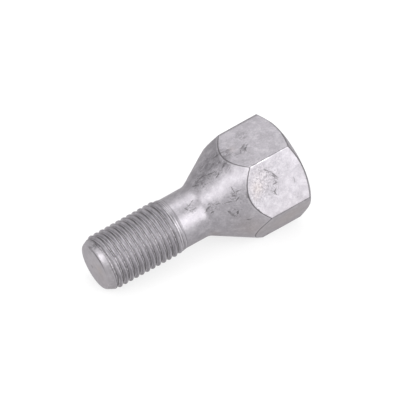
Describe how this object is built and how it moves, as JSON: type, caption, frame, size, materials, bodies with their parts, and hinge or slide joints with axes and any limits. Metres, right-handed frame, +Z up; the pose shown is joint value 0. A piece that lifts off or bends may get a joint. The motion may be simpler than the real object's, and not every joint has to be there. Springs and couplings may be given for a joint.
{
  "type": "wheel bolt",
  "caption": "Wheel bolt with a hexagon head that tapers in one conical seat to a plain shank and a threaded end with a chamfered tip.",
  "frame": {"origin": "centre of the bounding box at its base, on the surface that the bolt lies on", "axes": "+Z up, +X level, towards the head and above the bolt's own axis, which rises 7.9 degrees towards the head; +Y level, across the bolt"},
  "size_m": [0.0542, 0.0272, 0.0253],
  "materials": {
    "zinc_coated_steel": "dull silver-grey zinc flake coat over forged steel, lightly scuffed"
  },
  "bodies": {
    "root": {"wheel_bolt": "zinc_coated_steel"}
  },
  "joints": []
}
